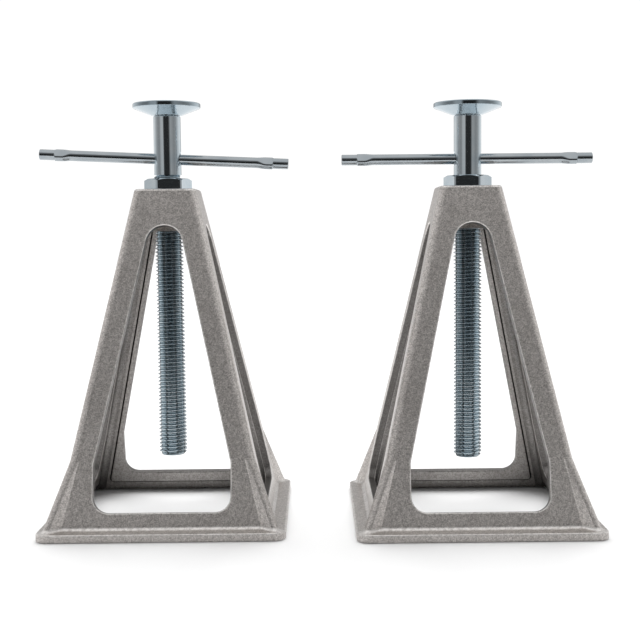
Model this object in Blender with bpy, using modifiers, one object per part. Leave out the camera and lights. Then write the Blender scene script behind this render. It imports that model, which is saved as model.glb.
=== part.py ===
"""A pair of screw-adjusted stack stands: cast pyramid frames with a lifting screw, nut, pad and T-bar.

Units are metres, +Z is up and the stands' fronts face -Y. The origin is on the floor, midway between
the two stands. Each stand is built from the same functions, around its own screw axis.
"""
import math

import bmesh
import bpy
from mathutils import Matrix, Vector

MM = 0.001

# Base flange of the casting
FLANGE_WIDTH = 158.8 * MM
FLANGE_HEIGHT = 5.2 * MM
FLANGE_CORNER = 8.0 * MM
FLANGE_EDGE = 1.0 * MM
FLANGE_LIP = 6.0 * MM
LEDGE_THICKNESS = 3.0 * MM

# Pyramid walls: outer width just above the flange, and at the top
FRAME_HEIGHT = 223.5 * MM
BASE_WIDTH = 138.8 * MM
TOP_WIDTH = 41.0 * MM
LEG_CORNER = 5.0 * MM
TOP_EDGE = 1.5 * MM
LEDGE_FILLET = 2.2 * MM
WALL = 3.4 * MM
CEILING = 195.2 * MM
CAVITY_CORNER = 5.0 * MM

# Gussets that flare from the legs' corner edges to the flange's corners
GUSSET_HEIGHT = 48.0 * MM
GUSSET_TIP = 75.2 * MM
GUSSET_START = 63.8 * MM
GUSSET_CORNER = 2.8 * MM

# Windows, each with a raised rim on the inside
LEG_STRIP = 16.1 * MM
WINDOW_SILL = 16.0 * MM
WINDOW_TOP = 199.3 * MM
WINDOW_KNEE = 46.5 * MM
WINDOW_CORNER = 10.0 * MM
WINDOW_EDGE = 0.8 * MM
RIM_WIDTH = 3.5 * MM
RIM_FOOT = 8.4 * MM
RIM_HEAD = 198.0 * MM
RIM_CORNER = 2.0 * MM
RIM_THICKNESS = 5.3 * MM
RIM_OVERLAP = 1.0 * MM

# Lifting screw, 3/4 inch with 10 threads per inch
PITCH = 2.54 * MM
CREST_RADIUS = 9.525 * MM
ROOT_RADIUS = 7.95 * MM
THREAD_STEPS = 12
SCREW_LENGTH = 231.8 * MM
SCREW_CHAMFER = 2.2 * MM
SHANK_RADIUS = 9.25 * MM
SHANK_EDGE = 0.8 * MM
CORE_INSET = 2.0 * MM
TENON_RADIUS = 5.0 * MM
PEEN_RADIUS = 7.3 * MM

# Nut, 1 1/8 inch across flats, seated in a pocket in the casting
NUT_FLATS = 28.6 * MM
NUT_HEIGHT = 16.3 * MM
NUT_PROUD = 7.3 * MM
NUT_CHAMFER = 1.3 * MM
NUT_FACE_INSET = 0.4 * MM
NUT_CLEARANCE = 0.45 * MM
NUT_THREAD_STEPS = 24
POCKET_CLEARANCE = 0.4 * MM
SCREW_HOLE = 21.0 * MM

# Load pad
MIN_HEIGHT = 279.4 * MM
PAD_RADIUS = 22.9 * MM
PAD_RIM = 3.2 * MM
PAD_HEIGHT = 8.2 * MM
PAD_NECK = 10.2 * MM
PAD_EDGE = 0.8 * MM
PAD_BORE = 5.5 * MM
PAD_RECESS = 8.2 * MM
PAD_RECESS_DEPTH = 2.6 * MM

# Sliding T-bar
HANDLE_DROP = 37.5 * MM
HANDLE_LENGTH = 169.3 * MM
HANDLE_RADIUS = 3.6 * MM
HANDLE_HOLE = 8.8 * MM
HANDLE_EDGE = 0.5 * MM
EAR_FROM_END = 10.6 * MM
EAR_FLAT = 4.0 * MM
EAR_SLOPE = 6.5 * MM
EAR_HALF_THICKNESS = 2.75 * MM
EAR_HALF_WIDTH = 4.6 * MM
EAR_TILT = math.radians(42)

# Placing: gap between touching meshes, the stands' spacing, and how each one is set
GAP = 0.3 * MM
SPACING = 203.5 * MM
DEPTH_STAGGER = 7.5 * MM
STANDS = {
    "left": dict(side=-1, lift=2.1 * MM, nut_turn=math.radians(9), handle_shift=-2.3 * MM,
                 handle_droop=math.radians(2.75)),
    "right": dict(side=1, lift=0.0, nut_turn=math.radians(-8), handle_shift=-0.5 * MM,
                  handle_droop=0.0),
}

ARC_STEPS = 5
EDGE_STEPS = 3
CROWN_STEPS = 15
ROUND_STEPS = 32
CHAMFER_STEPS = 48
HOLE_STEPS = 24
BAR_STEPS = 16
SMOOTH_ANGLE = math.radians(32)

WALL_SLOPE = (BASE_WIDTH - TOP_WIDTH) / 2 / (FRAME_HEIGHT - FLANGE_HEIGHT)
WALL_TILT = math.atan(WALL_SLOPE)
WINDOW_LEAN = math.atan(math.sin(WALL_TILT))
WINDOW_SIDE = (BASE_WIDTH / 2 - LEG_STRIP) * math.cos(WINDOW_LEAN)
SCREW_BOTTOM = MIN_HEIGHT - PAD_HEIGHT - GAP - SCREW_LENGTH
SHANK_BOTTOM = FRAME_HEIGHT + NUT_PROUD + GAP
SHOULDER = SCREW_BOTTOM + SCREW_LENGTH


def remove_all_objects():
    for old in list(bpy.data.objects):
        bpy.data.objects.remove(old, do_unlink=True)


def make_collection(name):
    collection = bpy.data.collections.new(name)
    bpy.context.scene.collection.children.link(collection)
    return collection


def make_material(name, colour, roughness, metallic):
    material = bpy.data.materials.new(name)
    material.use_nodes = True
    shader = material.node_tree.nodes["Principled BSDF"]
    shader.inputs["Base Color"].default_value = (*colour, 1.0)
    shader.inputs["Roughness"].default_value = roughness
    shader.inputs["Metallic"].default_value = metallic
    material.diffuse_color = (*colour, 1.0)
    return material


def add_object(name, bm, collection, material=None, location=(0, 0, 0), rotation=(0, 0, 0)):
    """Turn a bmesh into a named object, shaded smooth up to a fixed angle."""
    if bm.faces:
        bmesh.ops.recalc_face_normals(bm, faces=bm.faces)
    mesh = bpy.data.meshes.new(name)
    bm.to_mesh(mesh)
    bm.free()
    mesh.shade_smooth()
    mesh.set_sharp_from_angle(angle=SMOOTH_ANGLE)
    made = bpy.data.objects.new(name, mesh)
    collection.objects.link(made)
    made.location = location
    made.rotation_euler = rotation
    if material:
        mesh.materials.append(material)
    return made


def add_cutter(name, bm, location=(0, 0, 0), rotation=(0, 0, 0)):
    """A helper solid for a Boolean: kept in its own collection and out of the build."""
    cutter = add_object(name, bm, tools, None, location, rotation)
    mark_as_cutter(cutter)
    return cutter


def mark_as_cutter(cutter):
    cutter.hide_render = True
    cutter.display_type = "WIRE"


def boolean(target, cutter, operation):
    modifier = target.modifiers.new(cutter.name, "BOOLEAN")
    modifier.object = cutter
    modifier.operation = operation
    modifier.solver = "EXACT"


def loft(bm, rings):
    """Skin closed rings of equal length one after another, and cap both ends."""
    rows = [[bm.verts.new(point) for point in ring] for ring in rings]
    count = len(rows[0])
    for lower, upper in zip(rows, rows[1:]):
        for i in range(count):
            j = (i + 1) % count
            bm.faces.new((lower[i], lower[j], upper[j], upper[i]))
    bm.faces.new(list(reversed(rows[0])))
    bm.faces.new(rows[-1])


def turned(name, profile, collection, material=None, location=(0, 0, 0), steps=ROUND_STEPS, closed=False):
    """Spin a profile of (radius, height) points, listed down its outer side, about Z."""
    bm = bmesh.new()
    verts = [bm.verts.new((radius, 0, height)) for radius, height in profile]
    for first, second in zip(verts, verts[1:]):
        bm.edges.new((first, second))
    if closed:
        bm.edges.new((verts[-1], verts[0]))
    made = add_object(name, bm, collection, material, location)
    screw = made.modifiers.new("turn", "SCREW")
    screw.steps = steps
    screw.render_steps = steps
    screw.use_merge_vertices = True
    screw.merge_threshold = 0.00001
    screw.use_smooth_shade = True
    return made


def thread_solid(root, crest, low, high, phase, steps):
    """A closed V-threaded bar: one pitch of profile swept up a right-hand helix, past low and high."""
    bm = bmesh.new()
    start = phase + PITCH * math.floor((low - phase) / PITCH - 1)
    turns = math.ceil((high - start) / PITCH) + 1
    outline = ((root, start), (crest, start + PITCH / 2), (root, start + PITCH))
    verts = [bm.verts.new((radius, 0, height)) for radius, height in outline]
    edges = [bm.edges.new(pair) for pair in zip(verts, verts[1:])]
    bmesh.ops.spin(bm, geom=verts + edges, cent=(0, 0, 0), axis=(0, 0, 1), dvec=(0, 0, PITCH / steps),
                   angle=math.tau * turns, steps=steps * turns)
    bmesh.ops.remove_doubles(bm, verts=bm.verts, dist=0.00001)
    bmesh.ops.holes_fill(bm, edges=[edge for edge in bm.edges if edge.is_boundary])
    return bm


# ---------------------------------------------------------------- casting


def wall_half(height):
    """Half the pyramid's outer width at a height."""
    return BASE_WIDTH / 2 - WALL_SLOPE * (height - FLANGE_HEIGHT)


def square_ring(height, half, tip, start, radius, steps=ARC_STEPS):
    """A square section with rounded corners that may stand out as gussets, as one ring.

    half is the walls' distance from the axis and tip the corners' sharp distance along X and Y. Each
    corner leaves its wall at start, tangent to the corner's arc.
    """
    centre = tip - radius
    reach = math.hypot(half - centre, start - centre)
    first = math.atan2(start - centre, half - centre) + math.acos(min(1.0, radius / reach))
    sweep = math.pi / 2 - 2 * first
    corner = [Vector((half, start, height))]
    for i in range(steps + 1):
        angle = first + sweep * i / steps
        x = centre + radius * math.cos(angle)
        y = centre + radius * math.sin(angle)
        corner.append(Vector((x, y, height)))
    corner.append(Vector((start, half, height)))
    return [Matrix.Rotation(math.pi / 2 * side, 3, "Z") @ point for side in range(4) for point in corner]


def flange_ring(height, inset):
    half = FLANGE_WIDTH / 2 - inset
    return square_ring(height, half, half, GUSSET_START, FLANGE_CORNER - inset)


def leg_ring(height, grow=0.0):
    """Section of the pyramid with its gussets, grown outwards for the fillet at its foot."""
    shoulder = wall_half(GUSSET_HEIGHT)
    fade = min(1.0, (height - FLANGE_HEIGHT) / (GUSSET_HEIGHT - FLANGE_HEIGHT))
    if fade < 1.0:
        tip = GUSSET_TIP + (shoulder - GUSSET_TIP) * fade
        radius = GUSSET_CORNER + (LEG_CORNER - GUSSET_CORNER) * fade
        shoulder_start = shoulder - LEG_CORNER - TOP_EDGE
        start = GUSSET_START + (shoulder_start - GUSSET_START) * fade
    else:
        tip = wall_half(height)
        radius = LEG_CORNER
        start = tip - LEG_CORNER - TOP_EDGE
    return square_ring(height, wall_half(height) + grow, tip + grow, start, radius + grow)


def casting_outside():
    rings = [flange_ring(0.0, FLANGE_EDGE / 2), flange_ring(FLANGE_EDGE / 2, 0.0)]
    for i in range(EDGE_STEPS):
        angle = math.pi / 2 * i / (EDGE_STEPS - 1)
        drop = FLANGE_EDGE * (1 - math.sin(angle))
        rings.append(flange_ring(FLANGE_HEIGHT - drop, FLANGE_EDGE * (1 - math.cos(angle))))
    for i in range(EDGE_STEPS + 1):
        angle = math.pi / 2 * i / EDGE_STEPS
        rise = LEDGE_FILLET * (1 - math.cos(angle))
        rings.append(leg_ring(FLANGE_HEIGHT + rise, LEDGE_FILLET * (1 - math.sin(angle))))
    rings.append(leg_ring(GUSSET_HEIGHT))
    for i in range(EDGE_STEPS + 1):
        angle = math.pi / 2 * i / EDGE_STEPS
        drop = TOP_EDGE * (1 - math.sin(angle))
        rings.append(leg_ring(FRAME_HEIGHT - drop, -TOP_EDGE * (1 - math.cos(angle))))
    bm = bmesh.new()
    loft(bm, rings)
    return bm


def casting_cavity():
    def ring(height, half):
        start = half - CAVITY_CORNER - TOP_EDGE
        return square_ring(height, half, half, start, CAVITY_CORNER, steps=EDGE_STEPS)

    lip_half = FLANGE_WIDTH / 2 - FLANGE_LIP
    recess_top = FLANGE_HEIGHT - LEDGE_THICKNESS
    bm = bmesh.new()
    loft(bm, [
        ring(-WALL, lip_half),
        ring(recess_top, lip_half),
        ring(recess_top, wall_half(recess_top) - WALL),
        ring(CEILING, wall_half(CEILING) - WALL),
    ])
    return bm


def arc(centre_u, centre_v, radius, first, last, steps):
    points = []
    for i in range(steps + 1):
        angle = first + (last - first) * i / steps
        points.append((centre_u + radius * math.cos(angle), centre_v + radius * math.sin(angle)))
    return points


def up_slope(height):
    """Distance up a wall's slope at a height."""
    return (height - FLANGE_HEIGHT) / math.cos(WALL_TILT)


def leaning_corner(side, height, radius):
    """Centre of a lower corner's arc, tangent to a leaning side and to a level edge at height."""
    v = up_slope(height) + radius
    return (side - radius - v * math.sin(WINDOW_LEAN)) / math.cos(WINDOW_LEAN), v


def window_outline(grow):
    """Outline of a window in its wall's plane, grown by an offset: (across, up the slope) points.

    The sides are parallel to the leg's edges down to a knee and stand upright below it. The top is a
    full round tangent to both sides, and the two lower corners are rounded.
    """
    crown = up_slope(WINDOW_TOP)
    top_radius = (WINDOW_SIDE - crown * math.sin(WINDOW_LEAN)) / (1 - math.sin(WINDOW_LEAN))
    low_side = (WINDOW_SIDE - up_slope(WINDOW_KNEE) * math.sin(WINDOW_LEAN)) / math.cos(WINDOW_LEAN)
    low_u = low_side - WINDOW_CORNER
    low_v = up_slope(WINDOW_SILL) + WINDOW_CORNER
    knee_u = low_side + grow
    knee_v = (WINDOW_SIDE + grow - knee_u * math.cos(WINDOW_LEAN)) / math.sin(WINDOW_LEAN)
    radius = WINDOW_CORNER + grow
    points = arc(low_u, low_v, radius, -math.pi / 2, 0.0, ARC_STEPS)
    points.append((knee_u, knee_v))
    points += arc(0.0, crown - top_radius, top_radius + grow, WINDOW_LEAN, math.pi - WINDOW_LEAN,
                  CROWN_STEPS)
    points.append((-knee_u, knee_v))
    points += arc(-low_u, low_v, radius, math.pi, 1.5 * math.pi, ARC_STEPS)
    return points


def rim_outline(grow):
    """Outline of the raised rim round a window: leaning sides, a low foot and a head in the top block."""
    low_u, low_v = leaning_corner(WINDOW_SIDE + RIM_WIDTH, RIM_FOOT, RIM_CORNER)
    head = up_slope(RIM_HEAD)
    head_u = (WINDOW_SIDE + RIM_WIDTH + grow - head * math.sin(WINDOW_LEAN)) / math.cos(WINDOW_LEAN)
    radius = RIM_CORNER + grow
    points = arc(low_u, low_v, radius, -math.pi / 2, WINDOW_LEAN, EDGE_STEPS)
    points += [(head_u, head), (-head_u, head)]
    points += arc(-low_u, low_v, radius, math.pi - WINDOW_LEAN, 1.5 * math.pi, EDGE_STEPS)
    return points


def wall_prisms(outline, levels):
    """The same loft on all four walls. levels lists (distance out of the wall, outline growth)."""
    bm = bmesh.new()
    across = Vector((1, 0, 0))
    up = Vector((0, math.sin(WALL_TILT), math.cos(WALL_TILT)))
    out = Vector((0, -math.cos(WALL_TILT), math.sin(WALL_TILT)))
    foot = Vector((0, -BASE_WIDTH / 2, FLANGE_HEIGHT))
    for side in range(4):
        turn = Matrix.Rotation(math.pi / 2 * side, 3, "Z")
        rings = []
        for distance, grow in levels:
            rings.append([turn @ (foot + across * u + up * v + out * distance) for u, v in outline(grow)])
        loft(bm, rings)
    return bm


def hexagon(flats, height):
    """A hex prism standing on Z = 0."""
    bm = bmesh.new()
    radius = flats / 2 / math.cos(math.pi / 6)
    middle = Matrix.Translation((0, 0, height / 2)) @ Matrix.Rotation(math.pi / 6, 4, "Z")
    bmesh.ops.create_cone(bm, cap_ends=True, segments=6, radius1=radius, radius2=radius, depth=height,
                          matrix=middle)
    return bm


def cylinder(radius, depth, matrix, segments=ROUND_STEPS):
    bm = bmesh.new()
    bmesh.ops.create_cone(bm, cap_ends=True, segments=segments, radius1=radius, radius2=radius,
                          depth=depth, matrix=matrix)
    return bm


def make_frame(label, place, setting):
    """The hollow casting, with its windows, inner rims, nut pocket and screw hole."""
    frame = add_object(f"{label}_frame", casting_outside(), parts, aluminium, place)
    cavity = add_cutter(f"{label}_cavity_cutter", casting_cavity(), place)
    rims = [(RIM_OVERLAP - WALL * math.cos(WALL_TILT), 0.0), (-RIM_THICKNESS, 0.0)]
    rim_tool = add_cutter(f"{label}_rim_tool", wall_prisms(rim_outline, rims), place)
    reach = 4 * WINDOW_EDGE
    openings = [(reach, WINDOW_EDGE + reach), (-WINDOW_EDGE, 0.0), (WINDOW_EDGE - RIM_THICKNESS, 0.0),
                (-RIM_THICKNESS - WINDOW_EDGE, 2 * WINDOW_EDGE)]
    window_tool = add_cutter(f"{label}_window_cutter", wall_prisms(window_outline, openings), place)
    pocket_floor = FRAME_HEIGHT + NUT_PROUD - NUT_HEIGHT - GAP
    pocket_place = (place[0], place[1], pocket_floor)
    pocket = add_cutter(f"{label}_pocket_cutter", hexagon(NUT_FLATS + 2 * POCKET_CLEARANCE, NUT_HEIGHT),
                        pocket_place, (0, 0, setting["nut_turn"]))
    hole_depth = 2 * FRAME_HEIGHT - 2 * CEILING
    hole = add_cutter(f"{label}_hole_cutter", cylinder(SCREW_HOLE / 2, hole_depth, Matrix.Identity(4)),
                      pocket_place)
    boolean(frame, cavity, "DIFFERENCE")
    boolean(frame, rim_tool, "UNION")
    boolean(frame, window_tool, "DIFFERENCE")
    boolean(frame, pocket, "DIFFERENCE")
    boolean(frame, hole, "DIFFERENCE")


# ---------------------------------------------------------------- nut, screw, pad and handle


def make_nut(label, place, setting):
    """Chamfered hex nut whose thread follows the screw's at a small clearance."""
    bottom = FRAME_HEIGHT + NUT_PROUD - NUT_HEIGHT
    nut_place = (place[0], place[1], bottom)
    nut = add_object(f"{label}_nut", hexagon(NUT_FLATS, NUT_HEIGHT), parts, zinc, nut_place,
                     (0, 0, setting["nut_turn"]))
    face = NUT_FLATS / 2 - NUT_FACE_INSET
    corner = face + NUT_CHAMFER * math.sqrt(3)
    profile = [(0, NUT_HEIGHT + GAP), (face - GAP * math.sqrt(3), NUT_HEIGHT + GAP),
               (corner, NUT_HEIGHT - NUT_CHAMFER), (corner, NUT_CHAMFER),
               (face - GAP * math.sqrt(3), -GAP), (0, -GAP)]
    blank = turned(f"{label}_nut_chamfer_tool", profile, tools, None, nut_place,
                   steps=CHAMFER_STEPS)
    mark_as_cutter(blank)
    spread = 1 / math.cos(math.pi / NUT_THREAD_STEPS)
    thread = thread_solid((ROOT_RADIUS + NUT_CLEARANCE) * spread, (CREST_RADIUS + NUT_CLEARANCE) * spread,
                          bottom, bottom + NUT_HEIGHT, SCREW_BOTTOM + setting["lift"], NUT_THREAD_STEPS)
    thread_tool = add_cutter(f"{label}_nut_thread_cutter", thread, place)
    boolean(nut, blank, "INTERSECT")
    boolean(nut, thread_tool, "DIFFERENCE")


def make_screw(label, place, setting):
    """Threaded bar trimmed to a chamfered end, joined to the shank, its cross hole and peened tenon."""
    lift = setting["lift"]
    thread = thread_solid(ROOT_RADIUS, CREST_RADIUS, SCREW_BOTTOM, SHANK_BOTTOM, SCREW_BOTTOM,
                          THREAD_STEPS)
    screw_place = (place[0], place[1], lift)
    screw = add_object(f"{label}_screw", thread, parts, zinc, screw_place)
    outer = CREST_RADIUS + GAP
    tip = outer - SCREW_CHAMFER
    trim = turned(f"{label}_thread_trim_tool", [
        (0, SHANK_BOTTOM + GAP), (ROOT_RADIUS, SHANK_BOTTOM + GAP), (outer, SHANK_BOTTOM - PITCH / 2),
        (outer, SCREW_BOTTOM + SCREW_CHAMFER), (tip, SCREW_BOTTOM), (0, SCREW_BOTTOM),
    ], tools, None, screw_place)
    core = ROOT_RADIUS - CORE_INSET
    recess_floor = MIN_HEIGHT - PAD_RECESS_DEPTH
    shank = turned(f"{label}_shank_tool", [
        (0, MIN_HEIGHT - GAP), (PEEN_RADIUS / 2, MIN_HEIGHT - 2 * GAP),
        (PEEN_RADIUS, recess_floor + 3 * GAP), (PEEN_RADIUS, recess_floor + GAP),
        (TENON_RADIUS, recess_floor + GAP), (TENON_RADIUS, SHOULDER),
        (SHANK_RADIUS - SHANK_EDGE, SHOULDER), (SHANK_RADIUS, SHOULDER - SHANK_EDGE),
        (SHANK_RADIUS, SHANK_BOTTOM), (core, SHANK_BOTTOM), (core, SHANK_BOTTOM - 2 * PITCH),
        (0, SHANK_BOTTOM - 2 * PITCH),
    ], tools, None, screw_place)
    for tool in (trim, shank):
        mark_as_cutter(tool)
    hole_centre = Matrix.Translation((0, 0, MIN_HEIGHT - HANDLE_DROP))
    across = hole_centre @ Matrix.Rotation(math.pi / 2, 4, "Y")
    hole = add_cutter(f"{label}_cross_hole_cutter",
                      cylinder(HANDLE_HOLE / 2, 4 * SHANK_RADIUS, across, segments=HOLE_STEPS), screw_place)
    boolean(screw, trim, "INTERSECT")
    boolean(screw, shank, "UNION")
    boolean(screw, hole, "DIFFERENCE")


def make_pad(label, place, setting):
    """Round load pad: thin rim, conical underside, stepped bore for the screw's peened end."""
    top = PAD_HEIGHT
    turned(f"{label}_pad", [
        (PAD_RECESS, top), (PAD_RADIUS - PAD_EDGE, top), (PAD_RADIUS - 0.3 * PAD_EDGE, top - 0.3 * PAD_EDGE),
        (PAD_RADIUS, top - PAD_EDGE), (PAD_RADIUS, top - PAD_RIM), (PAD_NECK, 0), (PAD_BORE, 0),
        (PAD_BORE, top - PAD_RECESS_DEPTH), (PAD_RECESS, top - PAD_RECESS_DEPTH),
    ], parts, zinc, (place[0], place[1], MIN_HEIGHT - PAD_HEIGHT + setting["lift"]), closed=True)


def bar_ring(distance, half_thickness, half_width, steps=BAR_STEPS):
    """Elliptical section of the bar, its thin direction tilted up towards the front."""
    thin = Vector((0, -math.sin(EAR_TILT), math.cos(EAR_TILT)))
    wide = Vector((0, math.cos(EAR_TILT), math.sin(EAR_TILT)))
    ring = []
    for i in range(steps):
        angle = math.tau * i / steps
        offset = thin * half_thickness * math.cos(angle) + wide * half_width * math.sin(angle)
        ring.append(Vector((distance, 0, 0)) + offset)
    return ring


def make_handle(label, place, setting):
    """Sliding T-bar: round, with a pinched ear near each end that can't pass the cross hole."""
    end = HANDLE_LENGTH / 2
    tip = HANDLE_RADIUS - HANDLE_EDGE
    half = [(end, tip, tip), (end - HANDLE_EDGE, HANDLE_RADIUS, HANDLE_RADIUS)]
    ear = end - EAR_FROM_END
    half.append((ear, HANDLE_RADIUS, HANDLE_RADIUS))
    ear -= HANDLE_EDGE
    half.append((ear, EAR_HALF_THICKNESS, EAR_HALF_WIDTH))
    half.append((ear - EAR_FLAT, EAR_HALF_THICKNESS, EAR_HALF_WIDTH))
    half.append((ear - EAR_FLAT - EAR_SLOPE, HANDLE_RADIUS, HANDLE_RADIUS))
    stations = [(-x, a, b) for x, a, b in half] + list(reversed(half))
    bm = bmesh.new()
    loft(bm, [bar_ring(*station) for station in stations])
    height = MIN_HEIGHT - HANDLE_DROP + setting["lift"]
    droop = setting["handle_droop"]
    shift = setting["handle_shift"]
    centre = (place[0] + shift * math.cos(droop), place[1], height - shift * math.sin(droop))
    add_object(f"{label}_handle", bm, parts, zinc, centre, (0, droop, 0))


remove_all_objects()
parts = make_collection("stack_stands")
tools = make_collection("cutters")
aluminium = make_material("cast_aluminium", (0.25, 0.235, 0.222), 0.55, 0.85)
zinc = make_material("zinc_plate", (0.60, 0.65, 0.68), 0.22, 1.0)

for stand, placing in STANDS.items():
    centre = (placing["side"] * SPACING / 2, -placing["side"] * DEPTH_STAGGER / 2, 0.0)
    make_frame(stand, centre, placing)
    make_nut(stand, centre, placing)
    make_screw(stand, centre, placing)
    make_pad(stand, centre, placing)
    make_handle(stand, centre, placing)
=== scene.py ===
"""The looks of a pair of screw-adjusted stack stands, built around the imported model.

Every part of both stands is modelled again, finer than its solid and to the same proportions: castings
with rounded edges, flat-crested threads, chamfered nuts, turned pads and T-bars with pressed ears. Sizes
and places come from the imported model, in metres, with +Z up and the stands' fronts facing -Y.
"""
import math

import bmesh
import bpy
from mathutils import Matrix, Vector


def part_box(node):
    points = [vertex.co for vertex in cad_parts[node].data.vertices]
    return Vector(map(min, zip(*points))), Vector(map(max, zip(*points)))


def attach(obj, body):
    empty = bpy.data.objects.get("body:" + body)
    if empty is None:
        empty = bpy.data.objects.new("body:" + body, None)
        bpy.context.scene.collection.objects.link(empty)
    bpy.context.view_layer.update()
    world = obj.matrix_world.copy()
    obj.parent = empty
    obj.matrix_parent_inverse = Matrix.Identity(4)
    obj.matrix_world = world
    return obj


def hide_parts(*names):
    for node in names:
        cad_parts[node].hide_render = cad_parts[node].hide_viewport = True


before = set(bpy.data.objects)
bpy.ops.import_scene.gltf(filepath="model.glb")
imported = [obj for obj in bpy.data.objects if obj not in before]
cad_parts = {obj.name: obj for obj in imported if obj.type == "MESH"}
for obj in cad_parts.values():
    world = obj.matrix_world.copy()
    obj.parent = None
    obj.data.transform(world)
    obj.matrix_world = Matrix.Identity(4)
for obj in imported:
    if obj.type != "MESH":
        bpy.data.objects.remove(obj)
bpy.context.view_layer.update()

MM = 0.001


def size_of(node):
    low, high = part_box(node)
    return high - low


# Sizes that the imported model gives
FLANGE_WIDTH = size_of("left_frame").x
FRAME_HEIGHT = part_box("left_frame")[1].z
NUT_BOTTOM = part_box("left_nut")[0].z
NUT_HEIGHT = size_of("left_nut").z
SCREW_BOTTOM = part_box("right_screw")[0].z
PAD_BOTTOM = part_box("right_pad")[0].z
PAD_HEIGHT = size_of("right_pad").z
PAD_RADIUS = size_of("right_pad").x / 2
HANDLE_LENGTH = size_of("right_handle").x
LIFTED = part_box("left_pad")[1].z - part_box("right_pad")[1].z

# Casting: flange, walls, cavity and gussets
FLANGE_HEIGHT = 5.2 * MM
FLANGE_CORNER = 8.0 * MM
FLANGE_EDGE = 1.0 * MM
FLANGE_LIP = 6.0 * MM
LEDGE_THICKNESS = 3.0 * MM
BASE_WIDTH = 138.8 * MM
TOP_WIDTH = 41.0 * MM
LEG_CORNER = 5.0 * MM
TOP_EDGE = 1.5 * MM
LEDGE_FILLET = 2.2 * MM
WALL = 3.4 * MM
CEILING = 195.2 * MM
CAVITY_CORNER = 5.0 * MM
CEILING_EDGE = 1.0 * MM
GUSSET_HEIGHT = 48.0 * MM
GUSSET_TIP = 75.2 * MM
GUSSET_START = 63.8 * MM
GUSSET_CORNER = 2.8 * MM

# Windows and the rims round them on the inside
LEG_STRIP = 16.1 * MM
WINDOW_SILL = 16.0 * MM
WINDOW_TOP = 199.3 * MM
WINDOW_KNEE = 46.5 * MM
WINDOW_CORNER = 10.0 * MM
WINDOW_EDGE = 0.9 * MM
RIM_WIDTH = 3.5 * MM
RIM_FOOT = 8.4 * MM
RIM_HEAD = 198.0 * MM
RIM_CORNER = 2.0 * MM
RIM_THICKNESS = 5.3 * MM
RIM_OVERLAP = 1.0 * MM
RIM_FILLET = 1.1 * MM
RIM_EDGE = 0.5 * MM

# Screw
PITCH = 2.54 * MM
CREST_RADIUS = 9.525 * MM
ROOT_RADIUS = 8.1 * MM
ROOT_FLAT = 0.113
CREST_FLAT = 0.063
SCREW_CHAMFER = 2.2 * MM
SHANK_RADIUS = 9.25 * MM
SHANK_EDGE = 0.8 * MM
TENON_RADIUS = 5.0 * MM
PEEN_RADIUS = 7.3 * MM

# Nut and its pocket
NUT_FLATS = 28.6 * MM
NUT_CHAMFER = 1.3 * MM
NUT_CLEARANCE = 0.45 * MM
POCKET_CLEARANCE = 0.4 * MM
SCREW_HOLE = 21.0 * MM

# Pad
PAD_RIM = 3.2 * MM
PAD_NECK = 10.2 * MM
PAD_EDGE = 0.8 * MM
PAD_BORE = 5.5 * MM
PAD_RECESS = 8.2 * MM
PAD_RECESS_DEPTH = 2.6 * MM

# T-bar
HANDLE_DROP = 37.5 * MM
HANDLE_RADIUS = 3.6 * MM
HANDLE_HOLE = 8.8 * MM
HANDLE_EDGE = 0.5 * MM
EAR_FROM_END = 10.6 * MM
EAR_FLAT = 4.0 * MM
EAR_SLOPE = 6.5 * MM
EAR_HALF_THICKNESS = 2.75 * MM
EAR_HALF_WIDTH = 4.6 * MM
EAR_SQUARENESS = 1.0
EAR_TILT = math.radians(42)

GAP = 0.3 * MM
STANDS = {
    "left": dict(nut_turn=math.radians(9), droop=math.radians(2.75)),
    "right": dict(nut_turn=math.radians(-8), droop=0.0),
}

ARC_STEPS = 10
EDGE_STEPS = 5
ROUND_STEPS = 96
THREAD_STEPS = 48
BAR_STEPS = 40

WALL_SLOPE = (BASE_WIDTH - TOP_WIDTH) / 2 / (FRAME_HEIGHT - FLANGE_HEIGHT)
WALL_TILT = math.atan(WALL_SLOPE)
WINDOW_LEAN = math.atan(math.sin(WALL_TILT))
WINDOW_SIDE = (BASE_WIDTH / 2 - LEG_STRIP) * math.cos(WINDOW_LEAN)
SHANK_BOTTOM = NUT_BOTTOM + NUT_HEIGHT + GAP
SHOULDER = PAD_BOTTOM - GAP
MIN_HEIGHT = PAD_BOTTOM + PAD_HEIGHT

scene = bpy.context.scene


# ---------------------------------------------------------------- mesh helpers


def face_outwards(bm):
    """Turn the faces of a closed mesh outwards, judged by the sign of its volume."""
    bmesh.ops.recalc_face_normals(bm, faces=bm.faces)
    closed = all(edge.is_manifold for edge in bm.edges)
    if closed and bm.calc_volume(signed=True) < 0:
        bmesh.ops.reverse_faces(bm, faces=bm.faces)


def add_object(name, bm, material=None):
    face_outwards(bm)
    mesh = bpy.data.meshes.new(name)
    bm.to_mesh(mesh)
    bm.free()
    made = bpy.data.objects.new(name, mesh)
    scene.collection.objects.link(made)
    if material:
        mesh.materials.append(material)
    return made


def apply_modifiers(target):
    """Swap the object's mesh for the one its modifiers make."""
    depsgraph = bpy.context.evaluated_depsgraph_get()
    mesh = bpy.data.meshes.new_from_object(target.evaluated_get(depsgraph))
    old = target.data
    target.modifiers.clear()
    target.data = mesh
    mesh.name = target.name
    bpy.data.meshes.remove(old)


def combine(target, tool_mesh, operation):
    """Boolean the target with a throwaway solid, at once."""
    tool = add_object("tool", tool_mesh)
    modifier = target.modifiers.new("combine", "BOOLEAN")
    modifier.object = tool
    modifier.operation = operation
    modifier.solver = "EXACT"
    apply_modifiers(target)
    bpy.data.meshes.remove(tool.data)


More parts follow.
